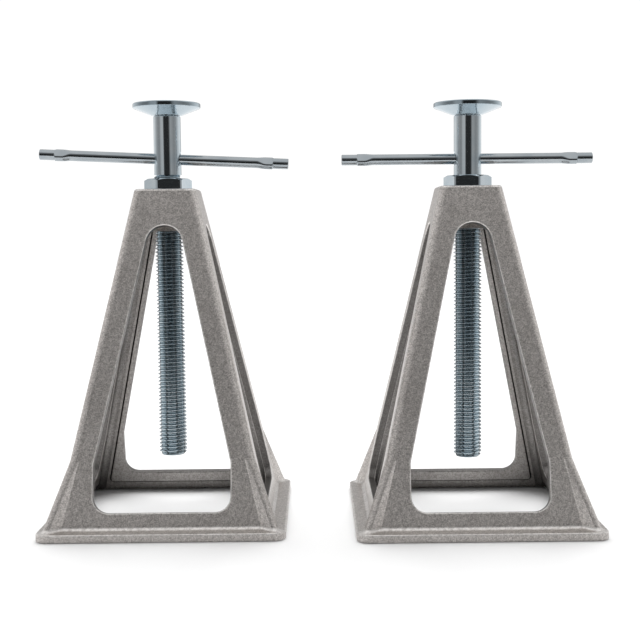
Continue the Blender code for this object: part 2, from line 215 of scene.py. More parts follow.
def smooth(target, sharp_angle=32.0):
    """Smooth shading up to an angle, with the broad faces kept flat up to their rounded edges."""
    bm = bmesh.new()
    bm.from_mesh(target.data)
    bmesh.ops.remove_doubles(bm, verts=bm.verts, dist=1e-6)
    bmesh.ops.dissolve_degenerate(bm, edges=bm.edges, dist=1e-7)
    bm.to_mesh(target.data)
    bm.free()
    target.data.shade_smooth()
    target.data.set_sharp_from_angle(angle=math.radians(sharp_angle))
    weighted = target.modifiers.new("weighted", "WEIGHTED_NORMAL")
    weighted.keep_sharp = True
    apply_modifiers(target)


def store(target, name, values):
    """Keep one number for each face, for the material to read."""
    attribute = target.data.attributes.new(name, "FLOAT", "FACE")
    attribute.data.foreach_set("value", values)


def loft(bm, rings):
    """Skin closed rings of equal length one after another, and cap both ends."""
    rows = [[bm.verts.new(point) for point in ring] for ring in rings]
    count = len(rows[0])
    for lower, upper in zip(rows, rows[1:]):
        for i in range(count):
            j = (i + 1) % count
            bm.faces.new((lower[i], lower[j], upper[j], upper[i]))
    bm.faces.new(list(reversed(rows[0])))
    bm.faces.new(rows[-1])


def lathe(profile, steps=ROUND_STEPS, matrix=Matrix.Identity(4)):
    """A closed solid of revolution from (radius, height) points. A ring-shaped one starts off the axis."""
    bm = bmesh.new()
    on_axis = profile[0][0] < 1e-9
    rows = []
    for radius, height in profile:
        if radius < 1e-9:
            rows.append([bm.verts.new(matrix @ Vector((0, 0, height)))] * steps)
            continue
        row = []
        for i in range(steps):
            angle = math.tau * i / steps
            point = Vector((radius * math.cos(angle), radius * math.sin(angle), height))
            row.append(bm.verts.new(matrix @ point))
        rows.append(row)
    pairs = list(zip(rows, rows[1:]))
    if not on_axis:
        pairs.append((rows[-1], rows[0]))
    for first, second in pairs:
        for i in range(steps):
            j = (i + 1) % steps
            corners = [first[i], first[j], second[j], second[i]]
            unique = [v for n, v in enumerate(corners) if v not in corners[:n]]
            if len(unique) > 2:
                bm.faces.new(unique)
    return bm


def arc(centre_u, centre_v, radius, first, last, steps):
    points = []
    for i in range(steps + 1):
        angle = first + (last - first) * i / steps
        points.append((centre_u + radius * math.cos(angle), centre_v + radius * math.sin(angle)))
    return points


def degrees_arc(centre, radius, first, last, steps=EDGE_STEPS):
    return arc(centre[0], centre[1], radius, math.radians(first), math.radians(last), steps)


# ---------------------------------------------------------------- casting


def wall_half(height):
    """Half the pyramid's outer width at a height."""
    return BASE_WIDTH / 2 - WALL_SLOPE * (height - FLANGE_HEIGHT)


def square_ring(height, half, tip, start, radius, steps=ARC_STEPS):
    """A square section with rounded corners that may stand out as gussets, as one ring.

    half is the walls' distance from the axis and tip the corners' sharp distance along X and Y. Each
    corner leaves its wall at start, tangent to the corner's arc.
    """
    centre = tip - radius
    reach = math.hypot(half - centre, start - centre)
    first = math.atan2(start - centre, half - centre) + math.acos(min(1.0, radius / reach))
    corner = [(half, start)] + arc(centre, centre, radius, first, math.pi / 2 - first, steps)
    corner.append((start, half))
    ring = []
    for side in range(4):
        turn = Matrix.Rotation(math.pi / 2 * side, 3, "Z")
        ring += [turn @ Vector((x, y, height)) for x, y in corner]
    return ring


def flange_ring(height, inset):
    half = FLANGE_WIDTH / 2 - inset
    return square_ring(height, half, half, GUSSET_START, FLANGE_CORNER - inset)


def leg_ring(height, grow=0.0):
    """Section of the pyramid with its gussets, grown outwards for the fillet at its foot."""
    shoulder = wall_half(GUSSET_HEIGHT)
    fade = min(1.0, (height - FLANGE_HEIGHT) / (GUSSET_HEIGHT - FLANGE_HEIGHT))
    if fade < 1.0:
        tip = GUSSET_TIP + (shoulder - GUSSET_TIP) * fade
        radius = GUSSET_CORNER + (LEG_CORNER - GUSSET_CORNER) * fade
        shoulder_start = shoulder - LEG_CORNER - TOP_EDGE
        start = GUSSET_START + (shoulder_start - GUSSET_START) * fade
    else:
        tip = wall_half(height)
        radius = LEG_CORNER
        start = tip - LEG_CORNER - TOP_EDGE
    return square_ring(height, wall_half(height) + grow, tip + grow, start, radius + grow)


def casting_outside():
    rings = []
    for inset, height in degrees_arc((FLANGE_EDGE / 2, FLANGE_EDGE / 2), FLANGE_EDGE / 2, 270, 180, 3):
        rings.append(flange_ring(height, inset))
    top = (FLANGE_EDGE, FLANGE_HEIGHT - FLANGE_EDGE)
    for inset, height in degrees_arc(top, FLANGE_EDGE, 180, 90):
        rings.append(flange_ring(height, inset))
    foot = (LEDGE_FILLET, FLANGE_HEIGHT + LEDGE_FILLET)
    for grow, height in degrees_arc(foot, LEDGE_FILLET, 270, 180, 6):
        rings.append(leg_ring(height, grow))
    rings.append(leg_ring(GUSSET_HEIGHT))
    brow = (-TOP_EDGE, FRAME_HEIGHT - TOP_EDGE)
    for grow, height in degrees_arc(brow, TOP_EDGE, 0, 90):
        rings.append(leg_ring(height, grow))
    bm = bmesh.new()
    loft(bm, rings)
    return bm


def casting_cavity():
    def ring(height, half):
        return square_ring(height, half, half, half - CAVITY_CORNER - TOP_EDGE, CAVITY_CORNER, steps=6)

    lip_half = FLANGE_WIDTH / 2 - FLANGE_LIP
    recess_top = FLANGE_HEIGHT - LEDGE_THICKNESS
    bm = bmesh.new()
    loft(bm, [
        ring(-WALL, lip_half),
        ring(recess_top, lip_half),
        ring(recess_top, wall_half(recess_top) - WALL),
        ring(CEILING - CEILING_EDGE, wall_half(CEILING - CEILING_EDGE) - WALL),
        ring(CEILING, wall_half(CEILING) - WALL - CEILING_EDGE),
    ])
    return bm


def up_slope(height):
    """Distance up a wall's slope at a height."""
    return (height - FLANGE_HEIGHT) / math.cos(WALL_TILT)


def leaning_corner(side, height, radius):
    """Centre of a lower corner's arc, tangent to a leaning side and to a level edge at height."""
    v = up_slope(height) + radius
    return (side - radius - v * math.sin(WINDOW_LEAN)) / math.cos(WINDOW_LEAN), v


def window_outline(grow):
    """Outline of a window in its wall's plane, grown by an offset: (across, up the slope) points.

    The sides are parallel to the leg's edges down to a knee and stand upright below it. The top is a
    full round tangent to both sides, and the two lower corners are rounded.
    """
    crown = up_slope(WINDOW_TOP)
    top_radius = (WINDOW_SIDE - crown * math.sin(WINDOW_LEAN)) / (1 - math.sin(WINDOW_LEAN))
    low_side = (WINDOW_SIDE - up_slope(WINDOW_KNEE) * math.sin(WINDOW_LEAN)) / math.cos(WINDOW_LEAN)
    low_u = low_side - WINDOW_CORNER
    low_v = up_slope(WINDOW_SILL) + WINDOW_CORNER
    knee_u = low_side + grow
    knee_v = (WINDOW_SIDE + grow - knee_u * math.cos(WINDOW_LEAN)) / math.sin(WINDOW_LEAN)
    radius = WINDOW_CORNER + grow
    points = arc(low_u, low_v, radius, -math.pi / 2, 0.0, ARC_STEPS)
    points.append((knee_u, knee_v))
    points += arc(0.0, crown - top_radius, top_radius + grow, WINDOW_LEAN, math.pi - WINDOW_LEAN,
                  3 * ARC_STEPS)
    points.append((-knee_u, knee_v))
    points += arc(-low_u, low_v, radius, math.pi, 1.5 * math.pi, ARC_STEPS)
    return points


def rim_outline(grow):
    """Outline of the raised rim round a window: leaning sides, a low foot and a head in the top block."""
    low_u, low_v = leaning_corner(WINDOW_SIDE + RIM_WIDTH, RIM_FOOT, RIM_CORNER)
    head = up_slope(RIM_HEAD)
    head_u = (WINDOW_SIDE + RIM_WIDTH + grow - head * math.sin(WINDOW_LEAN)) / math.cos(WINDOW_LEAN)
    radius = RIM_CORNER + grow
    points = arc(low_u, low_v, radius, -math.pi / 2, WINDOW_LEAN, EDGE_STEPS)
    points += [(head_u, head), (-head_u, head)]
    points += arc(-low_u, low_v, radius, math.pi - WINDOW_LEAN, 1.5 * math.pi, EDGE_STEPS)
    return points


def wall_prisms(outline, levels):
    """The same loft on all four walls. levels lists (distance out of the wall, outline growth)."""
    bm = bmesh.new()
    across = Vector((1, 0, 0))
    up = Vector((0, math.sin(WALL_TILT), math.cos(WALL_TILT)))
    out = Vector((0, -math.cos(WALL_TILT), math.sin(WALL_TILT)))
    foot = Vector((0, -BASE_WIDTH / 2, FLANGE_HEIGHT))
    for side in range(4):
        turn = Matrix.Rotation(math.pi / 2 * side, 3, "Z")
        rings = []
        for distance, grow in levels:
            rings.append([turn @ (foot + across * u + up * v + out * distance) for u, v in outline(grow)])
        loft(bm, rings)
    return bm


def rim_levels():
    """The raised rim: rooted in the wall, filleted to its inner face, and rounded along its edge."""
    inner_face = -WALL * math.cos(WALL_TILT)
    levels = [(inner_face + RIM_OVERLAP, RIM_FILLET)]
    levels += degrees_arc((inner_face - RIM_FILLET, RIM_FILLET), RIM_FILLET, 0, -90)
    levels += degrees_arc((RIM_EDGE - RIM_THICKNESS, -RIM_EDGE), RIM_EDGE, 90, 180)
    return levels


def window_levels():
    """The cutter for an opening, flared at both ends into a rounded edge."""
    reach = 4 * WINDOW_EDGE
    outer = degrees_arc((-WINDOW_EDGE, WINDOW_EDGE), WINDOW_EDGE, 0, -90)
    inner = degrees_arc((WINDOW_EDGE - RIM_THICKNESS, WINDOW_EDGE), WINDOW_EDGE, -90, -180)
    return [(reach, WINDOW_EDGE)] + outer + inner + [(-RIM_THICKNESS - reach, WINDOW_EDGE)]


def hex_ring(flats, height, turn):
    radius = flats / 2 / math.cos(math.pi / 6)
    angles = [turn + math.pi / 3 * i for i in range(6)]
    return [Vector((radius * math.cos(a), radius * math.sin(a), height)) for a in angles]


def mark_faces(casting):
    """Say which faces are tight rounded edges, inside, at the rims' foot, or in a window's thickness, for
    wear, painted highlight and painted shade in the material.
    """
    mesh = casting.data
    wear_and_highlight, inside, foot, jamb = [], [], [], []
    for polygon in mesh.polygons:
        corners = [mesh.vertices[i].co for i in polygon.vertices]
        round_trip = sum((a - b).length for a, b in zip(corners, corners[1:] + corners[:1]))
        strip = 2 * polygon.area / max(round_trip, 1e-9)
        centre = sum(corners, Vector()) / len(corners)
        across, out = sorted((abs(centre.x), abs(centre.y)))
        depth = (wall_half(centre.z) - out) * math.cos(WALL_TILT)
        v = up_slope(centre.z - depth * math.sin(WALL_TILT))
        beside = across * math.cos(WINDOW_LEAN) + v * math.sin(WINDOW_LEAN) - WINDOW_SIDE - RIM_WIDTH
        below = up_slope(RIM_FOOT) - v
        off_rim = max(beside, below)
        within = depth > 0.95 * WALL * math.cos(WALL_TILT) and centre.z < FRAME_HEIGHT - TOP_EDGE
        fillet = FLANGE_HEIGHT + 0.1 * MM < centre.z < FLANGE_HEIGHT + LEDGE_FILLET
        # tight rounded edges, brighter for wear and a painted highlight, and the ledge's concave fillet,
        # brighter for a painted highlight only
        wear_and_highlight.append(0.0 if within or strip > 0.45 * MM and not fillet else 1.0)
        # inner faces, for a painted shade, lighter on the rims' faces
        inside.append(0.0 if not within else 1.0 if off_rim > -RIM_EDGE else 0.55)
        # the crease at the rims' foot, for a painted shade line
        foot.append(1.0 if within and strip < 0.5 * MM and -0.3 * MM < off_rim < RIM_FILLET else 0.0)
        # faces in a window's thickness, for a painted shade
        slope = polygon.normal.x if abs(centre.x) > abs(centre.y) else polygon.normal.y
        between = WINDOW_EDGE / 2 < depth < RIM_THICKNESS and abs(slope) < 0.5
        open_side = off_rim < -0.8 * RIM_WIDTH and FLANGE_HEIGHT + MM < centre.z < WINDOW_TOP
        jamb.append(1.0 if between and open_side else 0.0)
    store(casting, "wear_and_highlight", wear_and_highlight)
    store(casting, "jamb", jamb)
    store(casting, "inside", inside)
    store(casting, "rim_foot", foot)


def make_frame(name, nut_turn):
    """The hollow casting, with its windows, inner rims, nut pocket and screw hole."""
    made = add_object(name, casting_outside(), aluminium)
    combine(made, casting_cavity(), "DIFFERENCE")
    combine(made, wall_prisms(rim_outline, rim_levels()), "UNION")
    combine(made, wall_prisms(window_outline, window_levels()), "DIFFERENCE")
    floor = NUT_BOTTOM - GAP
    flats = NUT_FLATS + 2 * POCKET_CLEARANCE
    mouth = WINDOW_EDGE / 2
    pocket = bmesh.new()
    loft(pocket, [
        hex_ring(flats, floor, nut_turn),
        hex_ring(flats, FRAME_HEIGHT - mouth, nut_turn),
        hex_ring(flats + 4 * mouth, FRAME_HEIGHT + mouth, nut_turn),
    ])
    combine(made, pocket, "DIFFERENCE")
    bore = SCREW_HOLE / 2
    combine(made, lathe([(0, CEILING - bore), (bore + 2 * CEILING_EDGE, CEILING - CEILING_EDGE),
                         (bore, CEILING + CEILING_EDGE), (bore, floor + GAP), (0, floor + GAP)]),
            "DIFFERENCE")
    smooth(made)
    mark_faces(made)
    return made


# ---------------------------------------------------------------- screw, nut, pad and T-bar


def thread(extra, low, high, phase):
    """A closed bar with a right-hand 60 degree thread, swept past low and high and grown by extra."""
    start = phase + PITCH * math.floor((low - phase) / PITCH - 1)
    turns = math.ceil((high - start) / PITCH) + 1
    root = ROOT_RADIUS + extra
    crest = CREST_RADIUS + extra
    outline = ((root, 0.0), (root, ROOT_FLAT), (crest, 0.5 - CREST_FLAT), (crest, 0.5 + CREST_FLAT),
               (root, 1.0 - ROOT_FLAT), (root, 1.0))
    bm = bmesh.new()
    verts = [bm.verts.new((radius, 0, start + share * PITCH)) for radius, share in outline]
    edges = [bm.edges.new(pair) for pair in zip(verts, verts[1:])]
    bmesh.ops.spin(bm, geom=verts + edges, cent=(0, 0, 0), axis=(0, 0, 1),
                   dvec=(0, 0, PITCH / THREAD_STEPS), angle=math.tau * turns, steps=THREAD_STEPS * turns)
    bmesh.ops.remove_doubles(bm, verts=bm.verts, dist=1e-5)
    bmesh.ops.holes_fill(bm, edges=[edge for edge in bm.edges if edge.is_boundary])
    return bm


def cross_hole_cutter():
    hole = HANDLE_HOLE / 2
    flare = 0.7 * MM
    half = [(hole + 3 * flare, SHANK_RADIUS + 2 * flare), (hole, SHANK_RADIUS - flare)]
    sides = half + [(radius, -height) for radius, height in reversed(half)]
    ends = [(0, sides[0][1])] + sides + [(0, sides[-1][1])]
    across = Matrix.Translation((0, 0, MIN_HEIGHT - HANDLE_DROP)) @ Matrix.Rotation(math.pi / 2, 4, "Y")
    return lathe(ends, 48, across)


def level_rim(bm, height):
    """The boundary edges that lie at a height."""
    return [edge for edge in bm.edges
            if edge.is_boundary and all(abs(v.co.z - height) < 1e-6 for v in edge.verts)]


def close_ledge(bm, height):
    """Close the flat ring between the thread's rim and the shank's wider one, paired by angle."""
    split = (ROOT_RADIUS + SHANK_RADIUS) / 2
    rim = {vert.index: vert for edge in level_rim(bm, height) for vert in edge.verts}
    inner, outer = [], []
    for vert in rim.values():
        angle = math.atan2(vert.co.y, vert.co.x)
        loop = inner if math.hypot(vert.co.x, vert.co.y) < split else outer
        loop.append((angle, vert))
    for loop in (inner, outer):
        loop.sort(key=lambda entry: entry[0])
        loop.append((loop[0][0] + math.tau, loop[0][1]))
    i = j = 0
    while i < len(inner) - 1 or j < len(outer) - 1:
        inner_next = inner[i + 1][0] if i < len(inner) - 1 else math.inf
        outer_next = outer[j + 1][0] if j < len(outer) - 1 else math.inf
        if inner_next <= outer_next:
            bm.faces.new((inner[i][1], outer[j][1], inner[i + 1][1]))
            i += 1
        else:
            bm.faces.new((inner[i][1], outer[j][1], outer[j + 1][1]))
            j += 1


def make_screw(name):
    """Threaded bar with a chamfered end, a plain shank with its cross hole, and a peened tenon."""
    seat = MIN_HEIGHT - PAD_RECESS_DEPTH + GAP
    crown = MIN_HEIGHT - GAP
    dome = [(PEEN_RADIUS * math.sin(a), seat + (crown - seat) * math.cos(a))
            for a in [math.pi / 2 * i / 8 for i in range(9)]]
    shoulder = degrees_arc((SHANK_RADIUS - SHANK_EDGE, SHOULDER - SHANK_EDGE), SHANK_EDGE, 90, 0)
    made = add_object(name, lathe(dome + [(TENON_RADIUS, seat), (TENON_RADIUS, SHOULDER)] + shoulder + [
        (SHANK_RADIUS, SHANK_BOTTOM), (0, SHANK_BOTTOM),
    ]), screw_zinc)
    combine(made, cross_hole_cutter(), "DIFFERENCE")

    bm = thread(0.0, SCREW_BOTTOM, SHANK_BOTTOM, SCREW_BOTTOM)
    for height, direction in ((SCREW_BOTTOM, -1), (SHANK_BOTTOM, 1)):
        bmesh.ops.bisect_plane(bm, geom=bm.verts[:] + bm.edges[:] + bm.faces[:], dist=1e-7,
                               plane_co=(0, 0, height), plane_no=(0, 0, direction), clear_outer=True)
    outer = CREST_RADIUS + GAP
    for vert in bm.verts:
        rise = vert.co.z - SCREW_BOTTOM
        drop = SHANK_BOTTOM - vert.co.z
        reach = min(outer - SCREW_CHAMFER + rise, ROOT_RADIUS + 0.1 * MM + drop)
        radius = math.hypot(vert.co.x, vert.co.y)
        if radius > reach:
            vert.co.x *= reach / radius
            vert.co.y *= reach / radius
    bmesh.ops.holes_fill(bm, edges=level_rim(bm, SCREW_BOTTOM))
    bm.from_mesh(made.data)
    bmesh.ops.delete(bm, geom=[face for face in bm.faces
                               if all(abs(v.co.z - SHANK_BOTTOM) < 1e-6 for v in face.verts)],
                     context="FACES")
    bm.verts.index_update()
    close_ledge(bm, SHANK_BOTTOM)
    face_outwards(bm)
    bm.to_mesh(made.data)
    bm.free()
    smooth(made)
    return made


def make_nut(name, turn, lift):
    """Hex nut with chamfered corners top and bottom, and a thread in step with the lifted screw's."""
    top = NUT_BOTTOM + NUT_HEIGHT
    bm = bmesh.new()
    loft(bm, [hex_ring(NUT_FLATS, NUT_BOTTOM, turn), hex_ring(NUT_FLATS, top, turn)])
    upright = [edge for edge in bm.edges if abs(edge.verts[0].co.z - edge.verts[1].co.z) > NUT_HEIGHT / 2]
    bmesh.ops.bevel(bm, geom=upright, offset=0.35 * MM, segments=3, profile=0.5, affect="EDGES")
    made = add_object(name, bm, nut_zinc)
    face = NUT_FLATS / 2 - 0.4 * MM
    corner = face + NUT_CHAMFER * math.sqrt(3)
    over = face - GAP * math.sqrt(3)
    combine(made, lathe([
        (0, top + GAP), (over, top + GAP), (corner, top - NUT_CHAMFER),
        (corner, NUT_BOTTOM + NUT_CHAMFER), (over, NUT_BOTTOM - GAP), (0, NUT_BOTTOM - GAP),
    ]), "INTERSECT")
    combine(made, thread(NUT_CLEARANCE, NUT_BOTTOM, top, SCREW_BOTTOM + lift), "DIFFERENCE")
    bore = CREST_RADIUS + NUT_CLEARANCE
    combine(made, lathe([(0, top + GAP), (bore + 2 * GAP, top + GAP), (ROOT_RADIUS, top - bore + ROOT_RADIUS),
                         (0, top - bore + ROOT_RADIUS)]), "DIFFERENCE")
    smooth(made, 20.0)
    return made


def make_pad(name):
    """Round load pad: thin rim, conical underside, stepped bore for the screw's peened end."""
    top = MIN_HEIGHT
    rim = degrees_arc((PAD_RADIUS - PAD_EDGE, top - PAD_EDGE), PAD_EDGE, 90, 0)
    under = PAD_EDGE / 2
    rim += degrees_arc((PAD_RADIUS - under, top - PAD_RIM + under), under, 0, -55, 3)
    recess = PAD_RECESS + under
    made = add_object(name, lathe([
        (PAD_RECESS, top - under), (recess - under * 0.7, top - under * 0.3), (recess, top),
    ] + rim + [
        (PAD_NECK, PAD_BOTTOM + under / 2), (PAD_NECK - under / 2, PAD_BOTTOM), (PAD_BORE, PAD_BOTTOM),
        (PAD_BORE, top - PAD_RECESS_DEPTH), (PAD_RECESS, top - PAD_RECESS_DEPTH),
    ], 2 * ROUND_STEPS), pad_zinc)
    smooth(made)
    return made


def bar_ring(distance, half_thickness, half_width, squareness):
    """Section of the bar: a circle, or a flattened rounded shape, its thin direction up to the front."""
    thin = Vector((0, -math.sin(EAR_TILT), math.cos(EAR_TILT)))
    wide = Vector((0, math.cos(EAR_TILT), math.sin(EAR_TILT)))
    power = 2 / (2 + squareness)
    ring = []
    for i in range(BAR_STEPS):
        angle = math.tau * (i + 0.5) / BAR_STEPS
        u = math.copysign(abs(math.cos(angle)) ** power, math.cos(angle))
        v = math.copysign(abs(math.sin(angle)) ** power, math.sin(angle))
        ring.append(Vector((distance, 0, 0)) + thin * half_thickness * u + wide * half_width * v)
    return ring


def make_handle(name):
    """Sliding T-bar: round, with a pressed ear near each end that can't pass the cross hole."""
    end = HANDLE_LENGTH / 2
    half = []
    for inset, depth in degrees_arc((HANDLE_EDGE, HANDLE_EDGE), HANDLE_EDGE, 270, 180):
        radius = HANDLE_RADIUS - inset
        half.append((end - depth, radius, radius, 0.0))

    def station(distance, share):
        share = share * share * (3 - 2 * share)
        thickness = HANDLE_RADIUS + (EAR_HALF_THICKNESS - HANDLE_RADIUS) * share
        width = HANDLE_RADIUS + (EAR_HALF_WIDTH - HANDLE_RADIUS) * share
        half.append((distance, thickness, width, EAR_SQUARENESS * share))

    shoulder = end - EAR_FROM_END
    for i in range(6):
        station(shoulder + HANDLE_EDGE - 2 * HANDLE_EDGE * i / 5, i / 5)
    ease = shoulder - HANDLE_EDGE - EAR_FLAT
    for i in range(13):
        station(ease - EAR_SLOPE * i / 12, 1 - i / 12)
    stations = [(-x, *rest) for x, *rest in half] + list(reversed(half))
    bm = bmesh.new()
    loft(bm, [bar_ring(*one) for one in stations])
    made = add_object(name, bm, bar_zinc)
    smooth(made)
    return made


# ---------------------------------------------------------------- materials


class Surface:
    """A Principled material and the few kinds of node that its textures need."""

    def __init__(self, name, metallic=1.0):
        self.material = bpy.data.materials.new(name)
        self.material.use_nodes = True
        self.nodes = self.material.node_tree.nodes
        self.links = self.material.node_tree.links
        self.shader = self.nodes["Principled BSDF"]
        self.shader.inputs["Metallic"].default_value = metallic
        self.place = self.nodes.new("ShaderNodeTexCoord").outputs["Object"]

    def join(self, source, target):
        if hasattr(source, "links"):
            self.links.new(source, target)
        elif isinstance(source, tuple):
            target.default_value = (*source, 1.0)
        else:
            target.default_value = source

    def stretched(self, scale):
        mapping = self.nodes.new("ShaderNodeMapping")
        self.links.new(self.place, mapping.inputs["Vector"])
        mapping.inputs["Scale"].default_value = scale
        return mapping.outputs["Vector"]

    def noise(self, scale, detail=2.0, roughness=0.5, where=None):
        """A noise of about scale features per metre."""
        node = self.nodes.new("ShaderNodeTexNoise")
        node.inputs["Scale"].default_value = scale
        node.inputs["Detail"].default_value = detail
        node.inputs["Roughness"].default_value = roughness
        self.links.new(where or self.place, node.inputs["Vector"])
        return node.outputs["Fac"]

    def stored(self, name):
        node = self.nodes.new("ShaderNodeAttribute")
        node.attribute_name = name
        return node.outputs["Fac"]

    def fit(self, value, low, high, to_low=0.0, to_high=1.0):
        node = self.nodes.new("ShaderNodeMapRange")
        self.join(value, node.inputs["Value"])
        for name, number in (("From Min", low), ("From Max", high), ("To Min", to_low), ("To Max", to_high)):
            node.inputs[name].default_value = number
        return node.outputs["Result"]

    def maths(self, operation, first, second):
        node = self.nodes.new("ShaderNodeMath")
        node.operation = operation
        self.join(first, node.inputs[0])
        self.join(second, node.inputs[1])
        return node.outputs[0]

    def blend(self, share, first, second):
        node = self.nodes.new("ShaderNodeMix")
        node.data_type = "RGBA"
        sockets = {socket.identifier: socket for socket in node.inputs}
        self.join(share, sockets["Factor_Float"])
        self.join(first, sockets["A_Color"])
        self.join(second, sockets["B_Color"])
        return {socket.identifier: socket for socket in node.outputs}["Result_Color"]

    def bump(self, height, distance, strength, after=None):
        node = self.nodes.new("ShaderNodeBump")
        node.inputs["Strength"].default_value = strength
        node.inputs["Distance"].default_value = distance
        self.links.new(height, node.inputs["Height"])
        if after is not None:
            self.links.new(after, node.inputs["Normal"])
        return node.outputs["Normal"]

    def finish(self, colour, roughness, normal):
        self.links.new(colour, self.shader.inputs["Base Color"])
        self.links.new(roughness, self.shader.inputs["Roughness"])
        self.links.new(normal, self.shader.inputs["Normal"])
        return self.material


# Features per metre of the casting's three noises, and how much of the grain is the finest
GRAIN_SCALE = 1300
CLUMP_SCALE = 480
MOTTLE_SCALE = 38
GRAIN_SHARE = 0.75

GRAIN_DARK = (0.38, 0.355, 0.338)
GRAIN_BRIGHT = (0.86, 0.817, 0.786)
MOTTLE_COLOUR = (0.44, 0.41, 0.385)
# Colour of edges rubbed brighter, and of a painted highlight on them and on the ledge's fillet
RUBBED_AND_HIGHLIGHT_COLOUR = (0.92, 0.895, 0.87)
# Painted shade in the windows' thickness
JAMB_SHADE_COLOUR = (0.06, 0.057, 0.055)
# Painted shade towards the bottom of the casting and on the flange
LOW_SHADE_COLOUR = (0.1, 0.098, 0.096)
# Painted shade on the inner faces
INSIDE_SHADE_COLOUR = (0.05, 0.048, 0.046)
# Painted shade along the crease at the rims' foot
CREASE_SHADE_COLOUR = (0.02, 0.018, 0.017)

# Zinc plate, as (dull, clean) pairs
ZINC = ((0.50, 0.575, 0.625), (0.60, 0.65, 0.68))
PAD_ZINC = ((0.34, 0.415, 0.465), (0.40, 0.465, 0.505))
BAR_ZINC = ((0.31, 0.345, 0.37), (0.38, 0.41, 0.43))
# Painted shade for the thread's roots
THREAD_ROOT_SHADE_COLOUR = (0.09, 0.15, 0.18)


def make_aluminium():
    """Blasted casting: fine metallic grain, soft mottling, edges rubbed brighter with a painted highlight,
    and painted shade inside, in the windows' thickness, at the rims' foot and low down.
    """
    surface = Surface("cast_aluminium_blasted")
    grain = surface.noise(GRAIN_SCALE, 2.0, 0.7)
    clumps = surface.noise(CLUMP_SCALE, 2.0, 0.5)
    mottle = surface.noise(MOTTLE_SCALE, 3.0, 0.6)
    share = surface.maths("ADD", surface.maths("MULTIPLY", grain, GRAIN_SHARE),
                          surface.maths("MULTIPLY", clumps, 1 - GRAIN_SHARE))
    colour = surface.blend(surface.fit(share, 0.38, 0.62), GRAIN_DARK, GRAIN_BRIGHT)
    colour = surface.blend(surface.fit(mottle, 0.35, 0.65, 0.0, 0.16), colour, MOTTLE_COLOUR)
    # Tight rounded edges brighter, partly wear and partly a painted highlight; the ledge's fillet gets only
    # the painted highlight
    rub_and_highlight = surface.maths("MULTIPLY", surface.stored("wear_and_highlight"), surface.fit(clumps, 0.38, 0.62, 0.3, 0.75))
    colour = surface.blend(rub_and_highlight, colour, RUBBED_AND_HIGHLIGHT_COLOUR)
    # Painted shade darkening the faces in a window's thickness
    colour = surface.blend(surface.maths("MULTIPLY", surface.stored("jamb"), 0.72), colour, JAMB_SHADE_COLOUR)
    # Painted shade: darker towards the bottom of the walls, and darker on the flange below its top edge
    height = surface.nodes.new("ShaderNodeSeparateXYZ")
    surface.links.new(surface.place, height.inputs[0])
    lower = surface.fit(height.outputs["Z"], 185 * MM, 25 * MM, 0.0, 0.11)
    colour = surface.blend(lower, colour, LOW_SHADE_COLOUR)
    flange = surface.fit(height.outputs["Z"], FLANGE_HEIGHT, FLANGE_HEIGHT - MM, 0.0, 0.13)
    colour = surface.blend(flange, colour, LOW_SHADE_COLOUR)
    # Painted shade on the inner faces, deeper low down and lighter on the rims' faces
    depth = surface.fit(height.outputs["Z"], 5 * MM, 42 * MM, 0.88, 0.56)
    inside_shade = surface.maths("MULTIPLY", surface.stored("inside"), depth)
    inside_shade = surface.maths("MULTIPLY", inside_shade, surface.fit(mottle, 0.35, 0.65, 0.92, 1.08))
    colour = surface.blend(inside_shade, colour, INSIDE_SHADE_COLOUR)
    # Painted shade along the crease at the rims' foot
    colour = surface.blend(surface.maths("MULTIPLY", surface.stored("rim_foot"), 0.85), colour, CREASE_SHADE_COLOUR)
    roughness = surface.fit(grain, 0.3, 0.7, 0.34, 0.48)
    normal = surface.bump(share, 0.16 * MM, 0.55)
    normal = surface.bump(mottle, 0.25 * MM, 0.3, normal)
    return surface.finish(colour, roughness, normal)


def make_zinc(name, scale, rough, streak=0.0, colours=ZINC):
    """Bright zinc plate: bluish with paler clouds, and fine lines where scale stretches them."""
    dull, clean = colours
    brightest = tuple(1.1 * part for part in clean)
    surface = Surface(name)
    clouds = surface.noise(60, 3.0, 0.55)
    fine = surface.noise(900, 2.0, 0.6)
    lines = surface.noise(220, 4.0, 0.65, surface.stretched(scale))
    colour = surface.blend(surface.fit(clouds, 0.35, 0.65), dull, clean)
    colour = surface.blend(surface.fit(lines, 0.3, 0.7, 0.0, 0.2), colour, brightest)
    roughness = surface.fit(lines, 0.3, 0.7, rough, rough + 0.05)
    roughness = surface.maths("ADD", roughness, surface.fit(fine, 0.3, 0.7, 0.0, 0.02))
    normal = surface.bump(fine, 0.01 * MM, 0.15)
    if streak:
        normal = surface.bump(lines, 0.01 * MM, streak, normal)
    return surface, colour, roughness, normal


